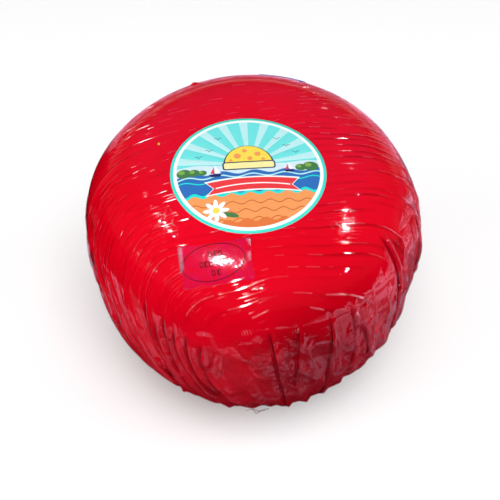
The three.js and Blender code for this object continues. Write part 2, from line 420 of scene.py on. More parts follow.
def stretch_ridges(points):
    """Long low ridges drawn across the crown, and down its right and left sides."""
    across, along = ridge_field(points)
    height = np.zeros(across.shape)
    for k in range(RIDGE_COUNT):
        middle = lerp(*RIDGE_ACROSS, draw(k, 31))
        start = lerp(*RIDGE_START, draw(k, 32) ** 0.7)
        end = start + lerp(*RIDGE_LENGTH, draw(k, 33))
        bend = 1.2 * np.sin(along / 26 + 6.3 * draw(k, 34))
        body = swell(across - middle - bend, lerp(*RIDGE_HALF_WIDTH, draw(k, 35)))
        ends = smoothstep(along, start, start + RIDGE_RISE) * (1 - smoothstep(along, end - RIDGE_FALL, end))
        height = np.maximum(height, lerp(*RIDGE_HEIGHT, draw(k, 36)) * body * ends)
    return height * pull(points)


def under_sheets(points):
    """1 under the label, the sticker and the back label, where the film lies flat, and 0 clear of them."""
    middle = sheet_frame(LABEL)["middle"]
    flat = 1 - smoothstep(np.linalg.norm(points - middle, axis=-1), LABEL["radius"] - 1.5, LABEL["radius"])
    for sheet in (STICKER, BACK_LABEL):
        spot = sheet_frame(sheet)
        u = np.abs((points - spot["middle"]) @ spot["right"]) - sheet["width"] / 2
        v = np.abs((points - spot["middle"]) @ spot["up"]) - sheet["height"] / 2
        near = np.linalg.norm(points - spot["middle"], axis=-1) < sheet["width"] + sheet["height"]
        flat = np.maximum(flat, near * (1 - smoothstep(np.maximum(u, v), -1.2, 0.3)))
    return flat


def column_point(column, latitude):
    """A point on one of the pleats' columns, at its relief."""
    azimuth = COLUMN_AZIMUTHS[column]
    toward = direction(leaned_azimuth(azimuth, latitude), latitude)
    relief = PLEAT_HEIGHT * pleat_strength(latitude) * COLUMN_LEVELS[column] * kink(column, latitude)
    relief = relief * lerp(FRONT["pleats_kept"], 1.0, away_from_front(azimuth))
    return toward * (smooth_radius(toward) + relief)[..., None]


def pleated_form(azimuth, latitude):
    """The film stretched straight from column to column, as flat panels between folds."""
    turned = (azimuth - COLUMN_AZIMUTHS[0]) % 360 + COLUMN_AZIMUTHS[0]
    left = np.searchsorted(COLUMN_AZIMUTHS, turned, side="right") - 1
    right = (left + 1) % len(COLUMN_AZIMUTHS)
    gap = (COLUMN_AZIMUTHS[right] - COLUMN_AZIMUTHS[left]) % 360
    share = ((turned - COLUMN_AZIMUTHS[left]) / gap)[..., None]
    return lerp(column_point(left, latitude), column_point(right, latitude), share)


def film_points(azimuth, latitude):
    toward = direction(leaned_azimuth(azimuth, latitude), latitude)
    smooth = toward * smooth_radius(toward)[..., None]
    strength = pleat_strength(latitude)
    taut = smoothstep(strength, 0, 0.25)[..., None]
    form = lerp(smooth, pleated_form(azimuth, latitude), taut)
    slack = crest_folds(azimuth, latitude) * away_from_front(azimuth)
    slack += fold_relief(toward)
    slack += nub_relief(toward)
    loose = looseness(azimuth, latitude)
    for panels, stream in ((BROAD_FACETS, 21), (SMALL_FACETS, 22)):
        slack += loose * panels["height"] * facets(azimuth, latitude, panels, stream)
    slack += stretch_ridges(smooth) * (1 - smoothstep(-latitude, -18, 0))
    return lerp(form + toward * slack[..., None], smooth, under_sheets(smooth)[..., None])


# ---------------------------------------------------------------- sheets on the film


def surface_normal(azimuth, latitude, step=0.5):
    def at(a, b):
        toward = direction(a, b)
        return toward * smooth_radius(toward)

    across = at(azimuth + step, latitude) - at(azimuth - step, latitude)
    upward = at(azimuth, latitude + step) - at(azimuth, latitude - step)
    return unit(np.cross(across, upward))


def sheet_frame(sheet):
    """A sheet's middle, the way it faces, and its two directions, from the ball's centre."""
    toward = direction(sheet["azimuth"], sheet["latitude"])
    normal = surface_normal(sheet["azimuth"], sheet["latitude"])
    right = unit(np.cross([0, 0, 1], normal))
    turn = math.radians(sheet["turn"])
    right = right * math.cos(turn) + np.cross(normal, right) * math.sin(turn)
    return {
        "middle": toward * smooth_radius(toward),
        "normal": normal,
        "right": right,
        "up": np.cross(normal, right),
    }


def lay_on_film(spot, flat_points, height):
    """Moves points of a sheet's plane, along its facing, to a height over the film."""
    flat = np.asarray(flat_points, float)
    points = spot["middle"] + flat[:, :1] * spot["right"] + flat[:, 1:2] * spot["up"]
    for _ in range(6):
        toward = unit(points)
        excess = np.linalg.norm(points, axis=-1) - smooth_radius(toward) - height
        points = points - (excess / (toward @ spot["normal"]))[:, None] * spot["normal"]
    return points


# ---------------------------------------------------------------- meshes

COLUMN_COUNT = 544
CROWN_ROWS = 80
SKIRT_ROWS = 132


def in_scene(name, data):
    made = bpy.data.objects.new(name, data)
    bpy.context.scene.collection.objects.link(made)
    return made


def new_piece(name, points, faces, materials, face_materials=None):
    """A mesh object from points about the ball's centre, in millimetres."""
    mesh = bpy.data.meshes.new(name)
    placed = (np.asarray(points, float) + CENTRE) * MM
    mesh.from_pydata(placed.tolist(), [], faces if isinstance(faces, list) else faces.tolist())
    for material in materials:
        mesh.materials.append(material)
    if face_materials is not None:
        mesh.polygons.foreach_set("material_index", np.asarray(face_materials, np.int32))
    mesh.polygons.foreach_set("use_smooth", np.full(len(mesh.polygons), True))
    mesh.update()
    return in_scene(name, mesh)


def set_attributes(piece, domain="POINT", **layers):
    for name, values in layers.items():
        layer = piece.data.attributes.new(name, "FLOAT", domain)
        layer.data.foreach_set("value", np.asarray(values, np.float32).ravel())


def strip_faces(upper, upper_count, lower, lower_count):
    """Faces between two rings of points, the lower with as many points as the upper or twice as many."""
    faces = []
    for c in range(upper_count):
        a, b = upper + c, upper + (c + 1) % upper_count
        if upper_count == lower_count:
            faces.append((a, lower + c, lower + (c + 1) % lower_count, b))
        else:
            left, middle, right = (lower + (2 * c + k) % lower_count for k in range(3))
            faces += [(a, left, middle), (a, middle, b), (b, middle, right)]
    return faces


def column_azimuths(count):
    """Azimuths all the way round, closer together in front."""
    turn = np.arange(count) / count
    front = (FRONT["azimuth"] + 180) / 360
    return 360 * (turn - FRONT["closer"] / (2 * math.pi) * np.sin(2 * math.pi * (turn - front))) - 180


def ball_body(latitudes, counts):
    """The film's rings of points and the faces between them, with a flat round foot.

    Also each point's azimuth and latitude before the lean, and the smooth form under it.
    """
    rings, places, smooth = [], [], []
    for latitude, count in zip(latitudes, counts):
        azimuth = column_azimuths(count)
        level = np.full(count, latitude)
        rings.append(film_points(azimuth, level))
        places.append(np.stack([azimuth, level], -1))
        toward = direction(leaned_azimuth(azimuth, level), level)
        smooth.append(toward * smooth_radius(toward)[..., None])
    rim = rings[-1] / np.linalg.norm(rings[-1][:, :2], axis=1, keepdims=True) * FOOT_RADIUS
    rim[:, 2] = -FOOT_DEPTH
    rings.append(rim)
    smooth.append(rim)
    places.append(places[-1])
    starts = np.cumsum([0] + [len(ring) for ring in rings])
    faces = []
    for upper, lower, start, following in zip(rings, rings[1:], starts, starts[1:]):
        faces += strip_faces(int(start), len(upper), int(following), len(lower))
    top, foot, last = int(starts[-1]), int(starts[-1]) + 1, int(starts[-2])
    faces += [(top, c, (c + 1) % counts[0]) for c in range(counts[0])]
    faces += [(foot, last + (c + 1) % counts[-1], last + c) for c in range(counts[-1])]
    ends = [rings[0].mean(0), [0, 0, -FOOT_DEPTH]]
    points = np.concatenate(rings + [ends])
    return {
        "points": points,
        "smooth": np.concatenate(smooth + [ends]),
        "places": np.concatenate(places + [[(0, 90), (0, -90)]]),
        "faces": faces,
    }


def ring_plan():
    """Latitudes from the crown to the foot, and how many points each ring has."""
    latitudes = np.concatenate([np.linspace(88.5, 30, CROWN_ROWS), np.linspace(29.4, PLEAT_END, SKIRT_ROWS)])
    reach = profile_radius(latitudes) * np.cos(np.radians(latitudes))
    counts = np.full(len(latitudes), COLUMN_COUNT)
    for narrower, radius in ((2, 42), (4, 21), (8, 10)):
        counts[(reach < radius) & (latitudes > 0)] = COLUMN_COUNT // narrower
    return latitudes, counts.tolist()


def pleat_place(azimuth):
    """Pleats counted round the film: whole numbers on the crests."""
    crests = COLUMN_AZIMUTHS[::3]
    known = np.concatenate([[crests[-1] - 360], crests, crests[:2] + 360])
    return np.interp(azimuth, known, np.arange(-1, len(crests) + 2))


def corner_azimuths(mesh, azimuths):
    """Each face corner's azimuth, counted on past 180 in the faces that close the ring."""
    corners = np.zeros(len(mesh.loops), np.int32)
    mesh.loops.foreach_get("vertex_index", corners)
    first = np.zeros(len(mesh.polygons), np.int32)
    mesh.polygons.foreach_get("loop_start", first)
    values = azimuths[corners]
    highest = np.maximum.reduceat(values, first)
    owner = np.repeat(np.arange(len(first)), np.diff(np.append(first, len(corners))))
    return np.where(highest[owner] - values > 180, values + 360, values)


def mark_folds(piece, body):
    """Tells a piece's material where the folds and pleats run, and where the film is slack."""
    azimuths, latitudes = body["places"].T
    offset, nearness, darkness = nearest_fold(unit(body["points"]))
    set_attributes(piece, slack=pleat_strength(latitudes), loose=looseness(azimuths, latitudes))
    set_attributes(piece, plain=away_from_front(azimuths))
    set_attributes(piece, fold=offset, fold_near=nearness, fold_dark=darkness)
    set_attributes(piece, "CORNER", pleat=pleat_place(corner_azimuths(piece.data, azimuths)))


def film_piece(body):
    points, azimuths = body["points"], body["places"][:, 0]
    film = new_piece("film", points, body["faces"], [film_material()])
    across, along = ridge_field(points)
    gathered = np.maximum(swell(turn_from(azimuths, -150), 48), 0.6 * away_from_front(azimuths))
    set_attributes(film, across=across, along=along, pull=pull(points), gathered=np.maximum(gathered, 0.15))
    toward = unit(points)
    set_attributes(film, crinkled=inside_patches(toward, CRINKLED), creased=inside_patches(toward, CREASED))
    set_attributes(film, covered=under_sheets(body["smooth"] + [0, 0, 1e-6]))
    ridges = film.data.attributes.new("ridge", "FLOAT_VECTOR", "POINT")
    ways = ridge_direction(points + [0, 0, 1e-6]).astype(np.float32)
    ridges.data.foreach_set("vector", ways.ravel())
    mark_folds(film, body)
    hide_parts("wrapped_cheese")
    return film


def wax_piece(body):
    """The wax takes most of the film's form, a little under it."""
    points = lerp(body["smooth"], body["points"], WAX_FOLLOWS)
    wax = new_piece("wax", points - unit(points) * WAX_DEPTH, body["faces"], [wax_material()])
    wax.data.transform(Matrix.Translation((0, 0, WAX_RAISED * MM)))
    mark_folds(wax, body)
    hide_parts("wrapped_cheese")
    return wax


def ring_points(radius_u, radius_v=None, middle=(0, 0), count=120, turn=0.0):
    angle = np.linspace(0, 2 * math.pi, count, endpoint=False)
    u, v = radius_u * np.cos(angle), (radius_v or radius_u) * np.sin(angle)
    c, s = math.cos(math.radians(turn)), math.sin(math.radians(turn))
    return np.stack([middle[0] + c * u - s * v, middle[1] + s * u + c * v], -1)


def closing_faces(upper, count):
    """The faces under and round an open sheet, whose lower points follow its upper ones."""
    lower = [tuple(i + count for i in reversed(face)) for face in upper]
    edges = {(face[k - 1], face[k]) for face in upper for k in range(len(face))}
    return lower + [(b, a, a + count, b + count) for a, b in sorted(edges) if (b, a) not in edges]


def box_points(width, height, corner, middle=(0, 0), turn=0.0):
    """A rectangle with round corners."""
    points = []
    for quarter, (sx, sy) in enumerate([(1, 1), (-1, 1), (-1, -1), (1, -1)]):
        for step in range(6):
            angle = math.pi / 2 * (quarter + step / 5)
            points.append((
                sx * (width / 2 - corner) + corner * math.cos(angle),
                sy * (height / 2 - corner) + corner * math.sin(angle),
            ))
    points = np.array(points)
    c, s = math.cos(math.radians(turn)), math.sin(math.radians(turn))
    return points @ np.array([[c, s], [-s, c]]) + np.array(middle)


def counter_clockwise(polygon):
    u, v = polygon[:, 0], polygon[:, 1]
    area = np.sum(u * np.roll(v, -1) - np.roll(u, -1) * v)
    return polygon if area > 0 else polygon[::-1]


def lattice_points(outline, step):
    """Points spaced evenly inside an outline's box, in offset rows."""
    low, high = outline.min(0), outline.max(0)
    points = []
    for row, v in enumerate(np.arange(low[1], high[1], step * 0.87)):
        for u in np.arange(low[0] + (row % 2) * step / 2, high[0], step):
            points.append((u, v))
    return np.array(points)


def printed_sheet(name, sheet, outline, shapes, field, materials, step, low, thickness):
    """A thin closed sheet whose upper face is cut along the shapes printed on it.

    shapes are (outline, ink) pairs, the later ones over the earlier, and ink names one
    of the materials. The shapes after the first field of them stay inside the last one
    of the field. The sheet ends at its outline.
    """
    polygons = [counter_clockwise(polygon) for polygon in [outline] + [shape for shape, _ in shapes]]
    points, loops = [], []
    for polygon in polygons:
        loops.append(list(range(len(points), len(points) + len(polygon))))
        points.extend(map(tuple, polygon))
    points.extend(map(tuple, lattice_points(outline, step)))
    flat, _, triangles, _, _, origins = delaunay_2d_cdt([Vector(p) for p in points], [], loops, 0, 1e-5)
    inks = list(materials)
    kept, chosen = [], []
    for triangle, origin in zip(triangles, origins):
        if 0 in origin:
            top = max(i for i in origin if i <= field or field in origin)
            ink = shapes[top - 1][1] if top else "paper"
            kept.append(tuple(triangle))
            chosen.append(inks.index(ink))
    flat = np.array([tuple(point) for point in flat])
    return closed_sheet(name, sheet, flat, kept, chosen, materials, low, thickness)


def closed_sheet(name, sheet, flat, kept, chosen, materials, low, thickness):
    used = sorted({i for triangle in kept for i in triangle})
    renumber = {old: new for new, old in enumerate(used)}
    upper = [tuple(renumber[i] for i in triangle) for triangle in kept]
    count = len(used)
    spot = sheet_frame(sheet)
    top = lay_on_film(spot, flat[used], low + thickness)
    bottom = lay_on_film(spot, flat[used], low)
    faces = upper + closing_faces(upper, count)
    chosen = chosen + [list(materials).index("paper")] * (len(faces) - len(upper))
    piece = new_piece(name, np.concatenate([top, bottom]), faces, list(materials.values()), chosen)
    piece.data.polygons.foreach_set("use_smooth", np.arange(len(faces)) < len(upper))
    return piece


# ---------------------------------------------------------------- materials


WHITE = (1, 1, 1, 1)
# Millimetres beside the nearest line, how present it is and its own draw.
Lines = namedtuple("Lines", "beside present own")
# The panels' height in cells, 1 along their creases, and two draws for each panel.
Facets = namedtuple("Facets", "height edge sheen shade")


class Value:
    """An output of a node. Sums, products and the like of values are Math nodes."""

    def __init__(self, nodes, node, output=0):
        self.nodes, self.node, self.socket = nodes, node, node.outputs[output]

    def __getitem__(self, output):
        return Value(self.nodes, self.node, output)

    def __add__(self, other):
        return self.nodes.math("ADD", self, other)

    def __sub__(self, other):
        return self.nodes.math("SUBTRACT", self, other)

    def __rsub__(self, other):
        return self.nodes.math("SUBTRACT", other, self)

    def __mul__(self, other):
        return self.nodes.math("MULTIPLY", self, other)

    def __truediv__(self, other):
        return self.nodes.math("DIVIDE", self, other)

    def __abs__(self):
        return self.nodes.math("ABSOLUTE", self)

    def ranged(self, low, high, to_low=0.0, to_high=1.0):
        """to_low up to low, to_high from high on, and a straight ramp between them."""
        inputs = {"Value": self, "From Min": low, "From Max": high, "To Min": to_low, "To Max": to_high}
        return self.nodes.add("MapRange", inputs)

    def falling(self, low, high):
        """1 up to low, 0 from high on, and a straight ramp between them."""
        return self.ranged(low, high, 1.0, 0.0)


def highest(first, *others):
    for other in others:
        first = first.nodes.math("MAXIMUM", first, other)
    return first


class Nodes:
    """A short way to build the nodes of a material or a world."""

    def __init__(self, owner, output="OutputMaterial"):
        self.owner = bpy.data.materials.new(owner) if isinstance(owner, str) else owner
        self.owner.use_nodes = True
        self.tree = self.owner.node_tree
        self.tree.nodes.clear()
        self.output = self.add(output, outputs=False)

    def add(self, kind, inputs=None, outputs=True, **settings):
        node = self.tree.nodes.new("ShaderNode" + kind)
        for key, value in settings.items():
            setattr(node, key, value)
        for key, value in (inputs or {}).items():
            if isinstance(value, Value):
                self.tree.links.new(value.socket, node.inputs[key])
            else:
                node.inputs[key].default_value = value
        return Value(self, node) if outputs else node

    def math(self, operation, a, b=0.0, clamp=False):
        return self.add("Math", {0: a, 1: b}, operation=operation, use_clamp=clamp)

    def mixed(self, share, a, b):
        return self.add("Mix", {"Factor": share, 6: a, 7: b}, data_type="RGBA")[2]

    def blend(self, share, a, b):
        return self.add("MixShader", {0: share, 1: a, 2: b})

    def attribute(self, name, output="Fac"):
        return self.add("Attribute", attribute_name=name)[output]

    def place(self, shift=0.0):
        """The place on the object, in metres, moved by a shift."""
        place = self.add("TexCoord")["Object"]
        return self.add("VectorMath", {0: place, 1: (shift,) * 3}, operation="ADD") if shift else place

    def vector(self, x, y, z):
        return self.add("CombineXYZ", {0: x, 1: y, 2: z})

    def parts(self, vector):
        return self.add("SeparateXYZ", {0: vector})

    def noise(self, scale, detail=2.0, place=None):
        return self.add("TexNoise", {"Scale": scale, "Detail": detail, "Vector": place or self.place()})

    def cells(self, place, scale, **settings):
        """How far the nearest and the second nearest point of a cell pattern are."""
        inputs = {"Vector": place, "Scale": scale}
        return [self.add("TexVoronoi", inputs, feature=feature, **settings) for feature in ("F1", "F2")]

    def draw(self, number):
        """A fixed draw between 0 and 1 for each number."""
        return self.add("TexWhiteNoise", {"W": number}, noise_dimensions="1D")

    def bump(self, height, distance, strength=1.0):
        return self.add("Bump", {"Strength": strength, "Distance": distance, "Height": height})

    def outside(self):
        return 1.0 - self.add("NewGeometry")["Backfacing"]

    def finish(self, shader):
        self.tree.links.new(shader.socket, self.output.inputs["Surface"])
        return self.owner


def color(*parts):
    """A colour given as 0 to 255 in sRGB, as linear values."""
    shares = [part / 255 for part in parts]
    linear = [part / 12.92 if part <= 0.04045 else ((part + 0.055) / 1.055) ** 2.4 for part in shares]
    return (*linear, 1.0)


def wax_material():
    """Smooth red cheese wax with faint clouds in its colour, with painted shade that darkens it towards the
    bottom and low at the front, and painted shade in and beside the folds of its film.
    """
    n = Nodes("red_wax")
    tint = n.mixed(n.noise(26, 3).ranged(0.35, 0.7), color(230, 3, 32), color(221, 2, 26))
    sideways, _, rise = n.parts(n.place())
    # Painted shade: the wax is darker towards the bottom.
    tint = n.mixed(rise.ranged(0.06, 0.02, 0.0, 0.5), tint, color(150, 0, 16))
    # Painted shade: darker again low on the front, a little right of the middle.
    front = sideways.ranged(0.003, 0.018) * sideways.falling(0.038, 0.056)
    tint = n.mixed(front * rise.ranged(0.106, 0.081, 0.0, 0.68), tint, color(150, 0, 12))
    # Painted shade: darker red beside the folds and dark red in their crevices.
    crevice_shade, _, beside = fold_shade_masks(n)
    tint = n.mixed(beside * 0.7, tint, color(128, 0, 12))
    tint = n.mixed(crevice_shade * 0.9, tint, color(62, 0, 10))
    pores = n.bump(n.noise(900, 2), 0.0002, 0.12)
    wax = {"Base Color": tint, "Roughness": 0.5, "Specular IOR Level": 0.0, "Normal": pores}
    return n.finish(n.add("BsdfPrincipled", wax))


def crisp_facets(n, size, stretch, turn):
    """Flat panels that meet in sharp creases."""
    turned = n.add("VectorRotate", {"Vector": n.place(), "Rotation": turn}, rotation_type="EULER_XYZ")
    shape = (1 / size, 1 / size, 1 / (size * stretch))
    scaled = n.add("VectorMath", {0: turned, 1: shape}, operation="MULTIPLY")
    first, second = n.cells(scaled, 1.0, distance="MANHATTAN")
    own = n.add("SeparateColor", {0: first["Color"]})
    return Facets(first, (second - first).falling(0.0, 0.0005 / size), own[0], own[1])


def crease_web(n, size, half_width):
    """Thin straight creases that meet in a loose web, broken off here and there."""
    first, second = n.cells(n.place(0.37), 1 / size)
    web = (second - first).falling(0.0, half_width / size)
    return web * n.noise(190, 1, n.place(4.4)).ranged(0.5, 0.56)


def lines_across(n, count, pitch, sway, run, seed, form):
    """A swaying line for each whole number of count."""
    bend = n.noise(1.0, 1.0, n.vector(*sway, seed)).ranged(0.0, 1.0, -form["swing"], form["swing"])
    place = count + bend
    line = n.math("FLOOR", place)
    own = n.draw(line + seed)
    beside = n.math("FRACT", place) - own.ranged(0.0, 1.0, *form["middle"])
    present = n.noise(1.0, 1.0, n.vector(run, line * form["step"], seed)).ranged(*form["present"])
    return Lines(beside * pitch, present, own)


DRAWN_LINES = {"swing": 1.6, "middle": (0.3, 0.7), "step": 7.31, "present": (0.38, 0.56)}
PLEAT_LINES = {"swing": 1.2, "middle": (0.35, 0.65), "step": 5.17, "present": (0.45, 0.6)}
PLEAT_PITCH = math.radians(BALL_RADIUS) * 360 / PLEAT_COUNT


def drawn_lines(n, pitch, seed):
    """Long lines along the film's pull."""
    along, across = n.attribute("along"), n.attribute("across")
    sway = (along * 0.025, across * 0.02)
    return lines_across(n, across / pitch, pitch, sway, along * 0.035, seed, DRAWN_LINES)


def pleat_lines(n, per_pleat, seed):
    """Thin creases along the pleats."""
    height = n.parts(n.place())[2]
    count = n.attribute("pleat") * per_pleat
    sway = (count * 0.35, height * 45.0)
    return lines_across(n, count, PLEAT_PITCH / per_pleat, sway, height * 70.0, seed, PLEAT_LINES)


def bright_dashes(n, lines, half_width, share, seed):
    """Short lengths of the lines that catch a lamp, more of them where the film is crinkled."""
    lift = n.noise(1.0, 0.0, n.vector(n.attribute("along") * 0.13, lines.own * 91.0, seed))
    lift = lift + n.attribute("crinkled") * 0.2
    line = abs(lines.beside).falling(half_width - 0.08, half_width + 0.04)
    return line * lift.ranged(1 - share, 1.04 - share)


def ridge_cap(lines, half_width):
    """A round low ridge over each line, 1 on top and 0 beside it."""
    share = lines.beside / half_width
    return share.nodes.math("SUBTRACT", 1.0, share * share, True) * lines.present


def fold_shade_masks(n):
    """Masks of painted shade: dark in the crevices of the folds, the grooves beside them that mirror nothing,
    and shade next to them.
    """
    swing = n.noise(110, 2, n.place(1.7))
    pleat = n.attribute("pleat")
    general = n.attribute("slack").ranged(0.2, 0.7) * n.attribute("plain")
    general = general * n.draw(n.math("FLOOR", pleat)).ranged(0.2, 0.8, 0.3, 1.0)
    named = n.attribute("fold_near").ranged(0.25, 0.7) * n.attribute("fold_dark")
    valley = (n.math("FRACT", pleat) - VALLEY_SHARE) * PLEAT_PITCH
    marks = []
    for offset, strength in ((valley, general), (n.attribute("fold"), named)):
        slit = swing.ranged(0.42, 0.75, 0.04, 0.3) * strength
        inside = (abs(offset - 0.5) - slit).falling(0.0, 0.14)
        crevice = n.math("MULTIPLY", inside, strength.ranged(0.35, 0.7), True)
        width = swing.ranged(0.3, 0.7, 0.35, 0.9) * strength.ranged(0.0, 0.6)
        groove = (abs(offset + 0.2) - width).falling(-0.1, 0.05) * strength.ranged(0.0, 0.1)
        shade = offset.ranged(-2.2, 0.2) * offset.falling(0.5, 0.9) * strength.ranged(0.2, 1.0)
        marks.append((crevice, groove, shade))
    return [highest(*pair) for pair in zip(*marks)]


def film_fields(n):
    """What the parts of the film's look share: where it is taut or slack, its lines and its facets."""
    film = SimpleNamespace()
    slack = n.attribute("slack")
    film.loose = n.attribute("loose").ranged(0.1, 0.7)
    film.taut = slack.falling(0.0, 0.35) * (1.0 - n.attribute("covered"))
    film.drawn = film.taut * n.attribute("pull")
    film.skirt = slack.ranged(0.05, 0.5) * n.attribute("gathered")
    film.lines = drawn_lines(n, 3.4, 0.3)
    film.fine_lines = drawn_lines(n, 1.9, 4.1)
    film.creases = pleat_lines(n, 4.0, 1.9)
    film.broad = crisp_facets(n, 0.011, 1.8, (0.3, 0.2, 0.5))
    film.small = crisp_facets(n, 0.0048, 1.3, (0.9, 0.5, 1.2))
    sideways, back, _ = n.parts(n.place())
    patches = n.noise(40, 2).ranged(0.46, 0.56) * sideways.falling(0.035, 0.055)
    film.patches = patches * back.ranged(-0.02, 0.01, 1.0, 0.3)
    film.outside = n.outside()
    return film


def film_bump(n, film):
    """The film's fine relief: drawn lines where it is taut, facets and creases where it is slack."""
    ridges = highest(ridge_cap(film.lines, 0.8), ridge_cap(film.fine_lines, 0.6) * 0.5)
    panels = film.broad.height * 2.6 + film.small.height * film.patches * 0.85
    height = ridges * film.drawn * 0.1 + panels * film.loose
    height = height + n.noise(170, 1, n.place(8.8)) * 0.04
    creased = n.attribute("creased") * (1.0 - n.attribute("covered"))
    height = height + n.noise(300, 2, n.place(2.2)) * 0.16 * creased
    return n.bump(height + ridge_cap(film.creases, 0.7) * film.skirt * 0.1, 0.001)


def film_tint(n, film):
    """The colour of what shows through the film, with painted shade beside its lines, along some creases and
    on some panels.
    """
    beside, creases = film.lines.beside, film.creases
    # Painted shade on one side of each drawn line.
    shade = beside.ranged(-1.4, 0.0) * beside.falling(0.0, 0.15) * film.lines.present * film.drawn
    # Painted shade along the creases of small panels and along thin pleat creases.
    edge = film.small.edge * film.patches * n.noise(130, 2, n.place(5.3)).ranged(0.56, 0.64)
    edge = edge * film.loose
    thin = abs(creases.beside - 0.5).falling(0.1, 0.26) * creases.own.ranged(0.35, 0.55) * creases.present
    tint = n.mixed(shade * 0.55, WHITE, (0.45, 0.2, 0.3, 1))
    tint = n.mixed(highest(edge, thin * film.skirt) * 0.6, tint, (0.3, 0.08, 0.1, 1))
    # Painted shade on some of the panels where the film is slack.
    panels = film.broad.shade.ranged(0.4, 0.9, 0.0, 0.22) + film.small.shade.ranged(0.5, 0.9, 0.0, 0.12)
    return n.mixed(panels * film.loose, tint, (0.4, 0.3, 0.34, 1))


def film_mirroring(n, film, bump):
    """How much the film mirrors: more at a slant, less in its folds and on some of its panels."""
    crevice_shade, grooves, beside_fold = fold_shade_masks(n)
    dull = film.broad.sheen.ranged(0.2, 0.8, 0.3, 0.0) + film.small.sheen.ranged(0.3, 0.7, 0.12, 0.0)
    closed = highest(highest(crevice_shade, grooves) * 0.9, beside_fold * 0.5, dull * film.loose)
    return n.add("Fresnel", {"IOR": 1.58, "Normal": bump}) * film.outside * (1.0 - closed)


def film_specks(n):
    """Tiny points of film that stand up where it goes from taut to slack."""
    spots = n.cells(n.place(), 420.0)[0].falling(0.1, 0.2)
    slack = n.attribute("slack")
    where = slack.ranged(0.0, 0.15) * slack.falling(0.5, 0.9)
    return spots * n.noise(160, 1, n.place(6.6)).ranged(0.6, 0.66) * where


def film_milk(n, film):
    """How milky the film is: in pale folds, along the edges of panels, in thin creases and in specks."""
    pale = n.math("MULTIPLY", n.attribute("fold_dark"), -1.0, True) * n.attribute("fold_near")
    fold = pale * abs(n.attribute("fold")).ranged(0.15, 0.45, 0.5, 0.0) * n.noise(120, 2).ranged(0.4, 0.55)
    edges = highest(film.broad.edge * 0.7, film.small.edge * film.patches * 0.4) * film.loose
    edges = edges * n.noise(150, 2, n.place(3.1)).ranged(0.5, 0.6)
    thin = abs(film.creases.beside).falling(0.1, 0.26) * film.creases.present
    thin = thin * film.creases.own.ranged(0.3, 0.6, 0.32, 0.1)
    web = crease_web(n, 0.0032, 0.0005) * n.attribute("creased")
    milk = highest(fold, edges * 0.35, thin * film.skirt, film_specks(n) * 0.5, web * 0.3, film.loose * 0.022)
    return milk * film.outside


def film_threads(n, film):
    """How bright the drawn lines are where they catch a lamp."""
    dashes = bright_dashes(n, film.lines, 0.22, 0.43, 8.3) * film.lines.present
    hatch = n.math("FRACT", n.attribute("along") * 0.85 + film.fine_lines.beside).ranged(0.45, 0.6)
    fine = bright_dashes(n, film.fine_lines, 0.3, 0.27, 2.9) * hatch
    bundle = bright_dashes(n, drawn_lines(n, 1.25, 9.7), 0.17, 0.3, 6.1) * n.attribute("crinkled")
    threads = highest(dashes, highest(fine * 0.25, bundle * 0.4))
    return threads * film.taut.ranged(0.0, 0.4) * film.outside


def film_material():
    """Thin clear film, mirror-like at a slant: stretch lines where it is taut, creases where slack."""
    n = Nodes("clear_film")
    film = film_fields(n)
    bump = film_bump(n, film)
    clear = n.add("BsdfTransparent", {"Color": film_tint(n, film)})
    coat = {"Color": WHITE, "Roughness": 0.06, "Normal": bump}
    gloss = n.add("BsdfGlossy", coat, distribution="BECKMANN")
    milky = n.add("BsdfGlossy", {"Color": (1, 0.7, 0.73, 1), "Roughness": 0.5, "Normal": bump})
    seen = n.blend(film_mirroring(n, film, bump), clear, gloss)
    seen = n.blend(film_milk(n, film), seen, milky)
    thread = n.add("BsdfAnisotropic", {
        "Color": n.mixed(film_threads(n, film), (0, 0, 0, 1), (0.75, 0.72, 0.73, 1)),
        "Roughness": 0.25,
        "Anisotropy": 0.85,
        "Tangent": n.attribute("ridge", "Vector"),
    })
    return n.finish(n.add("AddShader", {0: seen, 1: thread}))


def sticker_material(name, dark):
    """Clear sticker film with a faint magenta haze, or its grey print."""
    n = Nodes(name)
    wavy = n.bump(n.noise(210, 2), 0.0006, 0.4)
    clear = n.add("BsdfTransparent", {"Color": (1 - 0.8 * dark, 1 - 0.6 * dark, 1 - 0.5 * dark, 1)})
    gloss = n.add("BsdfGlossy", {"Color": (1, 0.86, 1, 1), "Roughness": 0.13, "Normal": wavy})
    seen = n.blend(n.add("Fresnel", {"IOR": 1.5, "Normal": wavy}) * n.outside(), clear, gloss)
    haze = n.add("BsdfDiffuse", {"Color": color(60, 30, 40) if dark else color(200, 60, 240)})
    hazy = n.blend(n.noise(300, 3).ranged(0.3, 0.7, 0.005, 0.03) + 0.6 * dark, seen, haze)
    lifted = n.attribute("end").ranged(0.85, 0.95) * n.noise(150, 3, n.place(1.1)).ranged(0.5, 0.62)
    loose_end = n.add("BsdfGlossy", {"Color": (1, 0.62, 0.8, 1), "Roughness": 0.5, "Normal": wavy})
    return n.finish(n.blend(lifted * 0.3, hazy, loose_end))


def tip_material():
    """Film gathered in several layers: pale grey, half clear."""
    n = Nodes("gathered_film")
    folds = n.noise(240, 3)
    bump = n.bump(folds, 0.0006, 0.7)
    clear = n.add("BsdfTransparent", {"Color": (0.97, 0.96, 0.96, 1)})
    pale = {"Color": n.mixed(folds, color(226, 222, 222), color(250, 248, 248)), "Normal": bump}
    layers = n.blend(0.6, n.add("BsdfDiffuse", pale), n.add("BsdfTranslucent", pale))
    hazy = n.blend(folds.ranged(0.3, 0.7, 0.06, 0.34), clear, layers)
    gloss = n.add("BsdfGlossy", {"Color": WHITE, "Roughness": 0.3, "Normal": bump})
    return n.finish(n.blend(0.04, hazy, gloss))


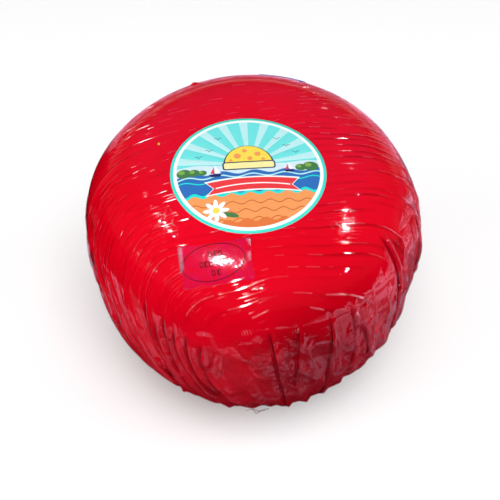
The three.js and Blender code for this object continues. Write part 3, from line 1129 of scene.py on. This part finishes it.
def print_material(name, ink):
    """Printed satin paper: one ink with fine mottling."""
    n = Nodes(name)
    darker = (*(part * 0.86 for part in ink[:3]), 1.0)
    tint = n.mixed(n.noise(2200, 2).ranged(0.3, 0.7) * 0.5, ink, darker)
    fibre = n.bump(n.noise(700, 4), 0.0001, 0.08)
    paper = {"Base Color": tint, "Roughness": 0.38, "Specular IOR Level": 0.35, "Normal": fibre}
    return n.finish(n.add("BsdfPrincipled", paper))


# ---------------------------------------------------------------- the printed sheets


def wave_band(level, depth, rise, length, phase, reach):
    """A band across the label with wavy edges."""
    u = np.linspace(-reach, reach, 90)
    upper = level + rise * np.sin(2 * math.pi * u / length + phase)
    lower = upper - depth
    return np.concatenate([np.stack([u, upper], -1), np.stack([u, lower], -1)[::-1]])


def ray(angle, spread, reach, middle):
    """A long thin triangle from a point."""
    a, b = math.radians(angle - spread / 2), math.radians(angle + spread / 2)
    far = [(middle[0] + reach * math.cos(t), middle[1] + reach * math.sin(t)) for t in (a, b)]
    return np.array([middle, *far])


def ribbon(middle, width, height, arch, tail):
    """A blank ribbon, arched, with notched ends."""
    u = np.linspace(-width / 2, width / 2, 40)
    rise = arch * (1 - (2 * u / width) ** 2)
    upper, lower = np.stack([u, rise + height / 2], -1), np.stack([u, rise - height / 2], -1)
    notch = width / 2 - tail
    return np.concatenate([upper, [(notch, 0.0)], lower[::-1], [(-notch, 0.0)]]) + np.array(middle)


def half_wheel(radius, flat, middle):
    """Half of a round cheese, on its cut edge."""
    angle = np.linspace(0, math.pi, 40)
    return np.stack([radius * np.cos(angle), flat * np.sin(angle)], -1) + np.array(middle)


def boat(u, v, size):
    """A small sailing boat: a hull and two sails."""
    hull = np.array([(-2.6, 0.9), (2.8, 0.9), (1.8, -0.5), (-1.8, -0.5)])
    main = np.array([(0.1, 1.3), (2.3, 1.3), (0.1, 6.0)])
    fore = np.array([(-0.3, 1.3), (-2.0, 1.3), (-0.3, 5.0)])
    return [(part * size + (u, v), ink) for part, ink in ((hull, "navy"), (main, "paper"), (fore, "red"))]


def daisy(u, v):
    """A white daisy on two leaves."""
    shapes = [
        (ring_points(3.4, 1.1, (u + 5.4, v - 2.6), 20, -18), "green"),
        (ring_points(3.0, 1.0, (u - 3.6, v - 3.6), 20, 52), "leaf"),
    ]
    for turn in np.radians(np.arange(0, 360, 45)):
        middle = (u + 2.9 * math.cos(turn), v + 2.9 * math.sin(turn))
        shapes.append((ring_points(2.3, 0.95, middle, 20, math.degrees(turn)), "paper"))
    return shapes + [(ring_points(1.4, middle=(u, v), count=20), "yellow")]


def bird(u, v):
    """A far bird, as a thin bent wing line."""
    upper = np.array([(-1.6, 0.7), (-0.7, 0.9), (0.0, 0.0), (0.7, 0.9), (1.6, 0.7)])
    lower = np.array([(1.6, 0.5), (0.7, 0.6), (0.0, -0.45), (-0.7, 0.6), (-1.6, 0.5)])
    return np.concatenate([upper, lower]) + (u, v)


def label_shapes(radius):
    """The print: rays over a bay with boats, half a cheese, a blank ribbon, wavy sand and a daisy."""
    sun = (0.5, 2.5)
    shapes = [
        (ring_points(radius, count=180), "rim"),
        (ring_points(radius - 1.2, count=180), "paper"),
        (ring_points(radius - 2.6, count=180), "sky"),
    ]
    shapes += [(ray(90 + 20 * (k - 5), 8, 31, sun), "pale") for k in range(11)]
    shapes += [
        (wave_band(3.5, 9, 0.5, 23, 1.1, 30), "cloud"),
        (wave_band(-1.0, 22, 0.9, 13, 0.4, 30), "blue"),
        (wave_band(-2.6, 0.7, 0.8, 13, 0.9, 30), "pale"),
        (wave_band(-5.2, 0.6, 0.8, 13, 1.6, 30), "aqua"),
        (wave_band(-11.5, 22, 0.8, 7.4, 2.0, 30), "aqua"),
        (wave_band(-13.0, 22, 0.8, 7.4, 2.0, 30), "orange"),
    ]
    shapes += [(wave_band(-17 - 4 * k, 0.45, 0.8, 7.4, 2.0 + 2.2 * k, 30), "brown") for k in range(4)]
    shapes.append((wave_band(-25.5, 12, 0.8, 7.4, 4.1, 30), "amber"))
    hedges = [(-26, 0.4, 3.0), (-22, 0.2, 2.4), (-18.6, -0.2, 1.8), (25.5, 0.6, 3.2), (21.4, 0.1, 2.3)]
    for u, v, size in hedges:
        shapes.append((ring_points(size, 0.8 * size, (u, v), 20), "green"))
        shapes.append((ring_points(0.45 * size, 0.35 * size, (u - 0.3 * size, v + 0.25 * size), 12), "leaf"))
    shapes += boat(-13.5, -2.4, 1.0) + boat(16.5, -1.8, 0.8) + daisy(-14.5, -20.0)
    birds = [(-15, 12), (-19.5, 8.5), (17, 13), (20.5, 9), (13.5, 17.5), (-11, 19)]
    shapes += [(bird(u, v), "navy") for u, v in birds]
    shapes += [
        (half_wheel(10.4, 11.6, (0.5, 2.6)), "navy"),
        (half_wheel(9.7, 10.8, (0.5, 3.2)), "yellow"),
        (box_points(21.6, 4.6, 1.2, (0.5, 2.6)), "navy"),
        (box_points(20.4, 3.4, 0.8, (0.5, 2.6)), "butter"),
    ]
    holes = [(-3.8, 8.2, 1.5), (1.2, 6.6, 1.1), (4.6, 9.0, 1.3)]
    holes += [(-0.6, 11.2, 1.0), (6.6, 5.9, 0.8), (-6.6, 5.8, 0.7)]
    shapes += [(ring_points(size, middle=(u, v), count=24), "orange") for u, v, size in holes]
    bands = [(38.5, 7.6, 3.4, "paper"), (36.5, 6.2, 2.8, "red"), (30.0, 0.6, 0.3, "paper")]
    return shapes + [(ribbon((1.0, -9.2), wide, high, 1.6, tail), ink) for wide, high, tail, ink in bands]


LABEL_INKS = {
    "paper": (252, 252, 250),
    "rim": (52, 226, 208),
    "sky": (112, 230, 228),
    "pale": (190, 240, 242),
    "cloud": (214, 238, 248),
    "aqua": (30, 226, 216),
    "blue": (44, 112, 190),
    "navy": (38, 36, 92),
    "orange": (246, 158, 92),
    "brown": (206, 98, 44),
    "yellow": (250, 224, 84),
    "butter": (252, 242, 168),
    "red": (240, 58, 64),
    "amber": (228, 120, 58),
    "green": (70, 128, 74),
    "leaf": (132, 178, 78),
}
BACK_INKS = {"paper": (44, 70, 190), "pale": (206, 222, 244), "deep": (30, 44, 140)}


def printed_inks(sheet, inks):
    return {ink: print_material(f"{sheet}_{ink}", color(*parts)) for ink, parts in inks.items()}


def label_piece():
    radius = LABEL["radius"]
    outline = ring_points(radius, count=180)
    shapes, inks = label_shapes(radius), printed_inks("label", LABEL_INKS)
    label = printed_sheet("round_label", LABEL, outline, shapes, 3, inks, step=2.4, **PAPER)
    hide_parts("label")
    return label


def sticker_piece():
    """A clear sticker with a thin oval line round three short rows of plain marks."""
    inks = {
        "paper": sticker_material("clear_sticker_film", 0.0),
        "line": sticker_material("sticker_line", 0.55),
        "mark": sticker_material("sticker_mark", 0.45),
    }
    width, height = STICKER["width"], STICKER["height"]
    outline = box_points(width, height, 0.8)
    oval = {"radius_u": 12.4, "radius_v": 7.2, "middle": (-0.9, 0.5), "turn": 5}
    shapes = [
        (outline, "paper"),
        (ring_points(**oval), "line"),
        (ring_points(**{**oval, "radius_u": 12.1, "radius_v": 6.9}), "paper"),
    ]
    rows = [(3.6, (-1.7, 0.4, 2.1)), (0.0, (-5.4, -3.6, -1.8, 0.9, 2.8, 4.6)), (-3.6, (-1.2, 1.0))]
    for v, places in rows:
        for k, u in enumerate(places):
            shapes.append((box_points(1.4, 2.2, 0.3, (u, v), 5), "mark"))
            shapes.append((box_points(0.7, 1.4, 0.2, (u + 0.3 * (k % 2), v), 5), "paper"))
    sticker = printed_sheet("clear_sticker_sheet", STICKER, outline, shapes, 1, inks, step=1.5, **FOIL)
    points = np.zeros(3 * len(sticker.data.vertices), np.float32)
    sticker.data.vertices.foreach_get("co", points)
    spot = sheet_frame(STICKER)
    beside = (points.reshape(-1, 3) / MM - CENTRE - spot["middle"]) @ spot["right"]
    set_attributes(sticker, end=np.abs(beside) / (width / 2))
    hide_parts("clear_sticker")
    return sticker


def back_label_piece():
    """A plain blue label with a pale border line and two pale bands."""
    inks = printed_inks("back", BACK_INKS)
    width, height = BACK_LABEL["width"], BACK_LABEL["height"]
    outline = box_points(width, height, 1.5)
    shapes = [
        (outline, "paper"),
        (box_points(width - 3, height - 3, 1.0), "pale"),
        (box_points(width - 3.8, height - 3.8, 0.8), "deep"),
        (box_points(width - 8, 1.6, 0.5, (0, 5.5)), "pale"),
        (box_points(width - 8, 1.6, 0.5, (0, -5.5)), "pale"),
        (ring_points(3.0, count=40), "pale"),
        (ring_points(2.2, count=40), "paper"),
    ]
    label = printed_sheet("back_label_sheet", BACK_LABEL, outline, shapes, 1, inks, step=1.8, **PAPER)
    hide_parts("back_label")
    return label


def tip_piece():
    """The gathered tip of film that hangs under the front of the belly."""
    rows, columns = 7, 12
    points = []
    for i in range(rows):
        down = i / (rows - 1)
        for j in range(columns):
            across = 2 * j / (columns - 1) - 1
            azimuth = TIP["azimuth"] + across * TIP["spread"] * (1 - 0.75 * down)
            latitude = TIP["latitude"] - down * TIP["drop"] * (1 - 0.5 * across * across)
            toward = direction(azimuth, latitude)
            out = TIP["reach"] * down * (1 - across * across) + 0.5 * math.sin(4 * across + 3 * down)
            points.append(toward * (float(smooth_radius(toward)) + 1.2 + out))
    points = np.array(points)
    under = points - unit(points) * TIP["thickness"]
    starts = [i * columns + j for i in range(rows - 1) for j in range(columns - 1)]
    upper = [(k, k + columns, k + columns + 1, k + 1) for k in starts]
    faces = upper + closing_faces(upper, rows * columns)
    tip = new_piece("film_tip", np.concatenate([points, under]), faces, [tip_material()])
    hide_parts("wrapped_cheese")
    return tip


def fleck_piece():
    """A tiny yellow fleck caught on the film of the crown."""
    spot = sheet_frame({**FLECK, "turn": 0})
    sides = 9
    angle = np.linspace(0, 2 * math.pi, sides, endpoint=False)
    reach = FLECK["radius"] * (0.8 + 0.35 * draw(np.arange(sides), 71))
    rim = np.stack([1.4 * reach * np.cos(angle), reach * np.sin(angle)], -1)
    flat = np.concatenate([rim, [(0, 0)]])
    low, high = lay_on_film(spot, flat, 0.15), lay_on_film(spot, flat * 0.8, 0.4)
    upper = sides + 1
    ring = [(j, (j + 1) % sides) for j in range(sides)]
    faces = [(j, k, upper + k, upper + j) for j, k in ring]
    faces += [(upper + j, upper + k, upper + sides) for j, k in ring] + [(k, j, sides) for j, k in ring]
    ink = print_material("fleck", color(226, 196, 60))
    fleck = new_piece("yellow_fleck", np.concatenate([low, high]), faces, [ink])
    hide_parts("wrapped_cheese")
    return fleck


# ---------------------------------------------------------------- stage


FLOOR_REACH = 6.0
FLOOR_DROP = 0.0002
TABLE_ROUNDS = [((0.03, -0.03, 0.0), 0.19), ((0.1, -0.075, 0.0), 0.2)]
# Where the painted reflection of the table is cut away: the angle of the middle and half
# the width, in radians, what is left there, and how far off it starts.
TABLE_GAPS = [(2.56, 0.24, 0.0, 0.05), (0.64, 0.2, 0.55, 0.2)]
# The painted reflection's pale tint, and its painted red shadow next to the ball.
REFLECTION_PAINT_TINT = (1.0, 0.6, 0.85)
RED_SHADE = (0.26, 0.01, 0.02)
FAR_SKY = (1.5, 1.8, 4.5, 1)


def painted_table_reflection(n, place, from_ball, lit):
    """A painted reflection of the table for the film: pale in places, with a painted red shadow of the ball
    close to it.
    """
    x, y, _ = n.parts(place)
    right = x.ranged(0.13, 0.135) * y.ranged(-0.135, -0.13)
    behind = (abs(x) - (y * 0.45 + 0.25)).falling(0.0, 0.05) * y.ranged(0.06, 0.08)
    table = highest(right, behind)
    for centre, radius in TABLE_ROUNDS:
        away = n.add("VectorMath", {0: place, 1: centre}, operation="DISTANCE")["Value"]
        table = highest(table, away.falling(radius, radius + 0.004))
    level = highest(x.ranged(-0.12, -0.05, 0.56, 0.55), x.ranged(0.15, 0.28, 0.55, 1.3))
    level = highest(level, y.ranged(0.02, 0.1, 0.4, 1.0))
    for middle, half, least, clear in TABLE_GAPS:
        around = abs(n.math("ARCTAN2", y, x) - middle).ranged(half, half + 0.08, 1 - least, 0.0)
        level = level * (1.0 - around * from_ball.ranged(clear, clear + 0.03))
    level = level * n.noise(18, 0).ranged(0.45, 0.53, 0.3, 1.3)
    # Painted shadow: the reflection is dimmer close to the ball.
    level = level * from_ball.ranged(0.3, 1.2, 1.0, 0.5) * table * lit
    pale = n.add("VectorMath", {0: REFLECTION_PAINT_TINT, "Scale": level}, operation="SCALE")
    # Painted shade: red where the ball's shadow is painted close to it.
    red = n.add("VectorMath", {0: RED_SHADE, "Scale": lit.falling(0.0, 1.0)}, operation="SCALE")
    return n.add("VectorMath", {0: pale, 1: red}, operation="ADD")


def floor_material():
    """A pale floor that glows for the camera, more further off, and gives only dim grey bounce light. The
    film mirrors a painted reflection of it: pale at the sides and behind, with painted shade in front and
    close by.
    """
    n = Nodes("floor")
    pale = n.mixed(n.noise(3, 2), color(250, 250, 250), color(246, 246, 247))
    place = n.add("NewGeometry")["Position"]
    from_ball = n.add("VectorMath", {0: place}, operation="LENGTH")["Value"]
    # Painted shadow of the ball: the reflection is dark within a few centimetres of it.
    mirrored = painted_table_reflection(n, place, from_ball, from_ball.ranged(0.075, 0.13))
    rays = n.add("LightPath")
    # Painted shade for bounce light: diffuse rays find the floor dim grey.
    tint = n.mixed(rays["Is Diffuse Ray"], pale, (0.16, 0.16, 0.16, 1))
    tint = n.mixed(rays["Is Glossy Ray"], tint, mirrored)
    # Painted light: the floor glows for the camera, more further from the ball.
    glowing = rays["Is Camera Ray"] * from_ball.ranged(0.5, 3.0, 0.12, 0.6)
    glow = n.add("Emission", {"Color": WHITE, "Strength": glowing})
    return n.finish(n.add("AddShader", {0: n.add("BsdfDiffuse", {"Color": tint}), 1: glow}))


def stage_floor():
    mesh = bpy.data.meshes.new("floor")
    r = FLOOR_REACH
    mesh.from_pydata([(-r, -r, 0), (r, -r, 0), (r, r, 0), (-r, r, 0)], [], [(0, 1, 2, 3)])
    mesh.materials.append(floor_material())
    floor = in_scene("floor", mesh)
    floor.location.z = -FLOOR_DROP


def stage_world():
    """Pale to the eye; what the film mirrors is bright low down behind the ball and dark elsewhere."""
    world = bpy.data.worlds.new("studio")
    world.cycles.sampling_method = "NONE"
    bpy.context.scene.world = world
    n = Nodes(world, "OutputWorld")
    x, y, z = n.parts(n.add("TexCoord"))
    mirrored = z.ranged(0.0, 0.12, 0.5, 0.0) * y.ranged(0.6, 0.9) + 0.04
    rays = n.add("LightPath")
    lit = n.add("Mix", {"Factor": rays["Is Glossy Ray"], "A": DOME_LIGHT, "B": mirrored})
    seen = n.add("Mix", {"Factor": rays["Is Camera Ray"], "A": lit, "B": 0.95})
    far = y.ranged(0.0, 0.5) * z.ranged(0.1, 0.3) * abs(x).falling(0.45, 0.75)
    sky = n.mixed(far * rays["Is Glossy Ray"], WHITE, FAR_SKY)
    n.finish(n.add("Background", {"Color": sky, "Strength": seen}))


def area_light(name, azimuth, elevation, distance, width, height, watts, mirrored):
    light = bpy.data.lights.new(name, "AREA")
    light.shape = "RECTANGLE"
    light.size, light.size_y = width, height
    light.energy = watts
    lamp = in_scene(name, light)
    target = Vector(CENTRE * MM)
    away = Vector(direction(azimuth, elevation))
    lamp.location = target + away * distance
    lamp.rotation_mode = "QUATERNION"
    lamp.rotation_quaternion = away.to_track_quat("Z", "Y")
    lamp.visible_glossy = mirrored
    return lamp


DOME_LIGHT = 0.4
GLINT_DISTANCE = 1.2
SOFT_WIDTH = 0.8
# Soft lights that nothing mirrors: azimuth, elevation, distance, height, watts.
SOFT_LIGHTS = [
    ("key", -80, 68, 1.2, 0.8, 8.6),
    ("fill", -161, 17, 1.4, 0.8, 6.5),
    ("low", -138, 4, 1.4, 0.15, 3.0),
    ("side", 0, 24, 1.4, 0.8, 4.6),
]
# Small lamps that only the film mirrors: azimuth, elevation, length along the ridges, width, radiance.
GLINTS = [
    (-120, 63, 0.14, 0.03, 600),
    (177, 55, 0.08, 0.01, 600),
    (18, 54, 0.1, 0.01, 900),
    (-30, 24, 0.1, 0.004, 320),
    (-86, 34, 0.18, 0.004, 175),
    (-150, 12, 0.05, 0.006, 230),
    (-140, 30, 0.03, 0.006, 260),
]


def stage_lights():
    for name, azimuth, elevation, distance, height, watts in SOFT_LIGHTS:
        area_light(name, azimuth, elevation, distance, SOFT_WIDTH, height, watts, mirrored=False)
    for k, (azimuth, elevation, length, width, radiance) in enumerate(GLINTS):
        watts = math.pi * length * width * radiance
        place = (azimuth, elevation, GLINT_DISTANCE)
        lamp = area_light(f"glint_{k}", *place, length, width, watts, mirrored=True)
        lamp.visible_diffuse = lamp.visible_camera = False
        away = Vector(direction(azimuth, elevation))
        ridge = Vector(RIDGE_WAY)
        side = (ridge - away * ridge.dot(away)).normalized()
        lamp.rotation_quaternion = Matrix((side, away.cross(side), away)).transposed().to_quaternion()


def stage_camera():
    data = bpy.data.cameras.new("camera")
    data.lens = CAMERA_LENS
    data.sensor_width = 36
    data.clip_start = 0.01
    camera = in_scene("camera", data)
    elevation, roll = math.radians(CAMERA_ELEVATION), math.radians(CAMERA_ROLL)
    back = Vector((0, -math.cos(elevation), math.sin(elevation)))
    level, rise = Vector((1, 0, 0)), Vector((0, math.sin(elevation), math.cos(elevation)))
    right = level * math.cos(roll) + rise * math.sin(roll)
    up = rise * math.cos(roll) - level * math.sin(roll)
    place = Vector(CENTRE) + back * CAMERA_DISTANCE
    aim = Vector(CENTRE) + right * CAMERA_AIM[0] + up * CAMERA_AIM[1]
    away = (place - aim).normalized()
    side = up.cross(away).normalized()
    turn = Matrix((side, away.cross(side), away)).transposed()
    camera.matrix_world = Matrix.Translation(place * MM) @ turn.to_4x4()
    bpy.context.scene.camera = camera


def colour_management():
    settings = bpy.context.scene.view_settings
    settings.view_transform = "Standard"
    settings.look = "None"
    settings.exposure = 0.0
    settings.gamma = 1.0


# ---------------------------------------------------------------- the scene

stage_camera()
stage_floor()
stage_world()
stage_lights()
colour_management()

body = ball_body(*ring_plan())
pieces = [wax_piece(body), film_piece(body)]
pieces += [label_piece(), sticker_piece(), back_label_piece(), tip_piece(), fleck_piece()]
for piece in pieces:
    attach(piece, "root")
